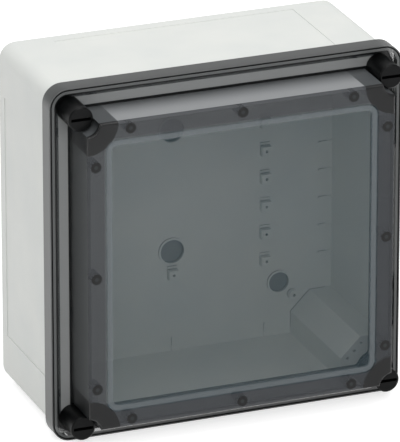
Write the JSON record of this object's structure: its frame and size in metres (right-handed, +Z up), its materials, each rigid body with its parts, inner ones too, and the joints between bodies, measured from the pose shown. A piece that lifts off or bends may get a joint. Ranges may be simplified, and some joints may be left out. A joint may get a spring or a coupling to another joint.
{
  "type": "hinged enclosure",
  "caption": "Square wall enclosure with a light grey base, a deep smoked see-through cover on side hinges, and slotted quarter-turn closures in its corners.",
  "frame": {"origin": "centre of the flat back face that lies against the wall", "axes": "+X right seen from the front, -Y out of the wall towards the viewer, +Z up"},
  "size_m": [0.314, 0.165, 0.308],
  "materials": {
    "base_grey": "fine satin, light grey",
    "cover_smoked": "smoked, see-through, with a frosted border",
    "gasket_rubber": "matt foam",
    "closure_black": "semi-gloss",
    "seal_rubber": "matt",
    "clip_steel": "plain",
    "catch_black": "plain",
    "screw_steel": "plain",
    "bracket_grey": "fine satin, light grey",
    "pin_steel": "ground"
  },
  "bodies": {
    "base": {"base_shell": "base_grey", "catch_plate_top_left": "catch_black", "catch_plate_top_right": "catch_black", "catch_plate_bottom_left": "catch_black", "catch_plate_bottom_right": "catch_black", "catch_screws": "screw_steel", "hinge_bracket_upper": "bracket_grey", "hinge_bracket_lower": "bracket_grey", "hinge_pin_upper": "pin_steel", "hinge_pin_lower": "pin_steel", "hinge_screws": "screw_steel"},
    "cover": {"cover_shell": "cover_smoked", "cover_gasket": "gasket_rubber"},
    "closure_top_left": {"closure_bolt_top_left": "closure_black", "closure_seal_top_left": "seal_rubber", "closure_clip_top_left": "clip_steel"},
    "closure_top_right": {"closure_bolt_top_right": "closure_black", "closure_seal_top_right": "seal_rubber", "closure_clip_top_right": "clip_steel"},
    "closure_bottom_left": {"closure_bolt_bottom_left": "closure_black", "closure_seal_bottom_left": "seal_rubber", "closure_clip_bottom_left": "clip_steel"},
    "closure_bottom_right": {"closure_bolt_bottom_right": "closure_black", "closure_seal_bottom_right": "seal_rubber", "closure_clip_bottom_right": "clip_steel"}
  },
  "joints": [
    {"name": "cover_hinge", "type": "hinge", "parent": "base", "child": "cover", "pos_m": [0.1565, -0.11, 0], "axis": [0, 0, 1], "range_deg": [0, 175]},
    {"name": "closure_turn_top_left", "type": "hinge", "parent": "cover", "child": "closure_top_left", "pos_m": [-0.135, -0.137, 0.135], "axis": [0, 1, 0], "range_deg": [0, 90]},
    {"name": "closure_turn_top_right", "type": "hinge", "parent": "cover", "child": "closure_top_right", "pos_m": [0.135, -0.137, 0.135], "axis": [0, 1, 0], "range_deg": [0, 90]},
    {"name": "closure_turn_bottom_left", "type": "hinge", "parent": "cover", "child": "closure_bottom_left", "pos_m": [-0.135, -0.137, -0.135], "axis": [0, 1, 0], "range_deg": [0, 90]},
    {"name": "closure_turn_bottom_right", "type": "hinge", "parent": "cover", "child": "closure_bottom_right", "pos_m": [0.135, -0.137, -0.135], "axis": [0, 1, 0], "range_deg": [0, 90]}
  ]
}
